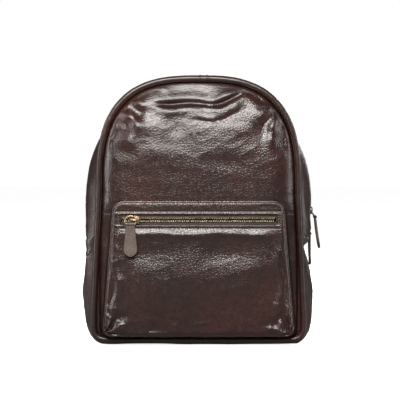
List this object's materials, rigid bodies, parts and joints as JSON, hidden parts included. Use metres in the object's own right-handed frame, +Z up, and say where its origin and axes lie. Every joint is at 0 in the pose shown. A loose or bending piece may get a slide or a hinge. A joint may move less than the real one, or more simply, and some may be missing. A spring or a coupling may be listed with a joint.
{
  "type": "leather backpack",
  "caption": "Arched leather backpack with piped edges, a zip round its top, a zipped front pocket, padded shoulder straps and a grab handle.",
  "frame": {"origin": "on the floor, under the middle of the base", "axes": "+Z up; the front with its pocket faces -Y; +X is on the right, seen from the front"},
  "size_m": [0.3282, 0.189, 0.3695],
  "materials": {
    "front_leather": "semi-gloss pebbled leather, dark brown",
    "side_leather": "semi-gloss pebbled leather, dark brown",
    "trim_leather": "smooth dark brown leather with a soft shine",
    "strap_leather": "padded pebbled leather, dark brown",
    "zip_tape": "woven brown tape",
    "zip_metal": "aged brass",
    "buckle_metal": "aged brass",
    "lining": "woven cotton lining",
    "stiffening": "foam sheet and fibre board inside the leather"
  },
  "bodies": {
    "bag": {"front_panel_lower": "front_leather", "back_panel": "side_leather", "back_foam": "stiffening", "base_board": "stiffening", "front_piping_lower": "trim_leather", "back_piping": "trim_leather", "gusset_lower": "side_leather", "gusset_band_rear": "side_leather", "gusset_side_right": "side_leather", "gusset_side_left": "side_leather", "zip_tape_end_right": "zip_tape", "zip_tape_end_left": "zip_tape", "zip_teeth_end_right": "zip_metal", "zip_teeth_end_left": "zip_metal", "zip_end_patch_right": "trim_leather", "zip_end_patch_left": "trim_leather", "main_zip_tape_rear": "zip_tape", "main_zip_teeth_rear": "zip_metal", "lining_body": "lining", "laptop_divider": "lining", "inner_slip_pocket": "lining", "pocket_panel": "front_leather", "pocket_gusset": "side_leather", "pocket_lining": "lining", "pocket_zip_tape_upper": "zip_tape", "pocket_zip_tape_lower": "zip_tape", "pocket_zip_teeth_upper": "zip_metal", "pocket_zip_teeth_lower": "zip_metal", "strap_yoke": "trim_leather", "strap_foot_right": "trim_leather", "strap_foot_left": "trim_leather"},
    "front_flap": {"front_panel_upper": "front_leather", "front_piping_upper": "trim_leather", "gusset_band_front": "side_leather", "main_zip_tape_front": "zip_tape", "main_zip_teeth_front": "zip_metal", "lining_flap": "lining"},
    "main_slider_a": {"main_slider_a": "zip_metal"},
    "main_ring_a": {"main_pull_ring_a": "zip_metal"},
    "main_pull_a": {"main_pull_a": "trim_leather"},
    "main_slider_b": {"main_slider_b": "zip_metal"},
    "main_ring_b": {"main_pull_ring_b": "zip_metal"},
    "main_pull_b": {"main_pull_b": "trim_leather"},
    "pocket_slider": {"pocket_slider": "zip_metal"},
    "pocket_ring": {"pocket_pull_ring": "zip_metal"},
    "pocket_pull": {"pocket_pull": "trim_leather"},
    "grab_handle": {"grab_handle": "trim_leather"},
    "strap_right": {"strap_pad_right": "strap_leather", "strap_tail_right": "strap_leather", "strap_keeper_right": "strap_leather", "strap_buckle_right": "buckle_metal"},
    "tongue_right": {"buckle_tongue_right": "buckle_metal"},
    "strap_left": {"strap_pad_left": "strap_leather", "strap_tail_left": "strap_leather", "strap_keeper_left": "strap_leather", "strap_buckle_left": "buckle_metal"},
    "tongue_left": {"buckle_tongue_left": "buckle_metal"}
  },
  "joints": [
    {"name": "flap_fold", "type": "hinge", "parent": "bag", "child": "front_flap", "pos_m": [0, -0.0545, 0.211], "axis": [1, 0, 0], "range_deg": [0, 80]},
    {"name": "main_slider_a_run", "type": "hinge", "parent": "bag", "child": "main_slider_a", "pos_m": [0, 0, 0.211], "axis": [0, -1, 0], "range_deg": [0, 208]},
    {"name": "main_ring_a_swing", "type": "hinge", "parent": "main_slider_a", "child": "main_ring_a", "pos_m": [0.15629, 0, 0.18288], "axis": [0, -1, 0], "range_deg": [-1, 60]},
    {"name": "main_pull_a_swing", "type": "hinge", "parent": "main_ring_a", "child": "main_pull_a", "pos_m": [0.16259, 0, 0.17386], "axis": [0, -1, 0], "range_deg": [-2, 25]},
    {"name": "main_slider_b_run", "type": "hinge", "parent": "bag", "child": "main_slider_b", "pos_m": [0, 0, 0.211], "axis": [0, -1, 0], "range_deg": [-1, 3]},
    {"name": "main_ring_b_swing", "type": "hinge", "parent": "main_slider_b", "child": "main_ring_b", "pos_m": [0.15059, 0, 0.16061], "axis": [0, -1, 0], "range_deg": [-1, 5]},
    {"name": "main_pull_b_swing", "type": "hinge", "parent": "main_ring_b", "child": "main_pull_b", "pos_m": [0.15508, 0, 0.15057], "axis": [0, -1, 0], "range_deg": [-1, 4]},
    {"name": "pocket_slider_slide", "type": "slide", "parent": "bag", "child": "pocket_slider", "axis": [1, 0, 0], "range_m": [0, 0.184]},
    {"name": "pocket_ring_swing", "type": "hinge", "parent": "pocket_slider", "child": "pocket_ring", "pos_m": [-0.08464, -0.077, 0.1735], "axis": [0, 1, 0], "range_deg": [-20, 5]},
    {"name": "pocket_pull_swing", "type": "hinge", "parent": "pocket_ring", "child": "pocket_pull", "pos_m": [-0.0919, -0.077, 0.1681], "axis": [-1, 0, 0], "range_deg": [0, 95]},
    {"name": "handle_swing", "type": "hinge", "parent": "bag", "child": "grab_handle", "pos_m": [0, 0.0625, 0.332], "axis": [1, 0, 0], "range_deg": [0, 170]},
    {"name": "strap_right_swing", "type": "hinge", "parent": "bag", "child": "strap_right", "pos_m": [0.075, 0.065, 0.302], "axis": [0.1695, -0.0039, -0.9855], "range_deg": [-15, 15]},
    {"name": "tongue_right_swing", "type": "hinge", "parent": "strap_right", "child": "tongue_right", "pos_m": [0.10725, 0.1012, 0.12344], "axis": [1, 0, 0], "range_deg": [0, 70]},
    {"name": "strap_left_swing", "type": "hinge", "parent": "bag", "child": "strap_left", "pos_m": [-0.075, 0.065, 0.302], "axis": [-0.1695, -0.0039, -0.9855], "range_deg": [-15, 15]},
    {"name": "tongue_left_swing", "type": "hinge", "parent": "strap_left", "child": "tongue_left", "pos_m": [-0.10725, 0.1012, 0.12344], "axis": [1, 0, 0], "range_deg": [0, 70]}
  ]
}
